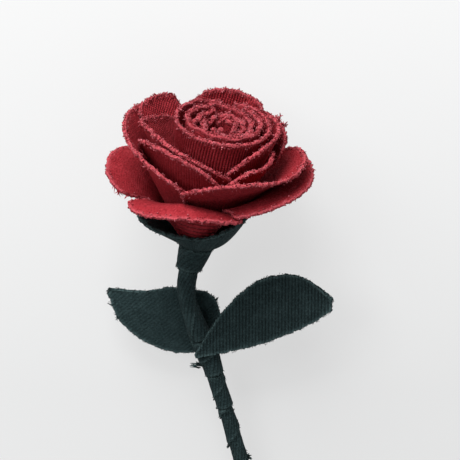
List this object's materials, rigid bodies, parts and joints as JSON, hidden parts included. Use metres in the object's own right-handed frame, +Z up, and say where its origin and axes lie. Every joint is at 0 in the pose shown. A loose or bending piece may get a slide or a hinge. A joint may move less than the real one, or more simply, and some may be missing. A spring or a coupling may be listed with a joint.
{
  "type": "fabric rose",
  "caption": "Handmade rose of red knitted cotton with frayed raw edges, a wound bud, a green cloth calyx, ribbed leaves and a wire stem wrapped in strip",
  "frame": {"origin": "centre of the footprint, on the table the rose lies on", "axes": "+X to the right and +Y from the stem's foot to the head as seen in the picture, +Z up from the table"},
  "size_m": [0.0764, 0.2058, 0.0607],
  "materials": {
    "red_knit": "matte",
    "core_knit": "matte",
    "green_knit": "matte",
    "wire_steel": "satin"
  },
  "bodies": {
    "root": {"bud_roll": "red_knit", "bud_tuft": "red_knit", "bud_wrap": "red_knit", "calyx": "green_knit", "head_core": "core_knit", "leaf_left": "green_knit", "leaf_right": "green_knit", "petal_back_inner": "red_knit", "petal_back_left": "red_knit", "petal_back_left_outer": "red_knit", "petal_back_right": "red_knit", "petal_back_right_outer": "red_knit", "petal_front_outer": "red_knit", "petal_left_inner": "red_knit", "petal_left_mid": "red_knit", "petal_left_outer": "red_knit", "petal_left_wrap": "red_knit", "petal_right_inner": "red_knit", "petal_right_mid": "red_knit", "petal_right_outer": "red_knit", "petal_right_wrap": "red_knit", "stem_collar": "green_knit", "stem_wire": "wire_steel", "stem_wrap_foot": "green_knit", "stem_wrap_lower": "green_knit", "stem_wrap_middle": "green_knit", "stem_wrap_upper": "green_knit"}
  },
  "joints": []
}
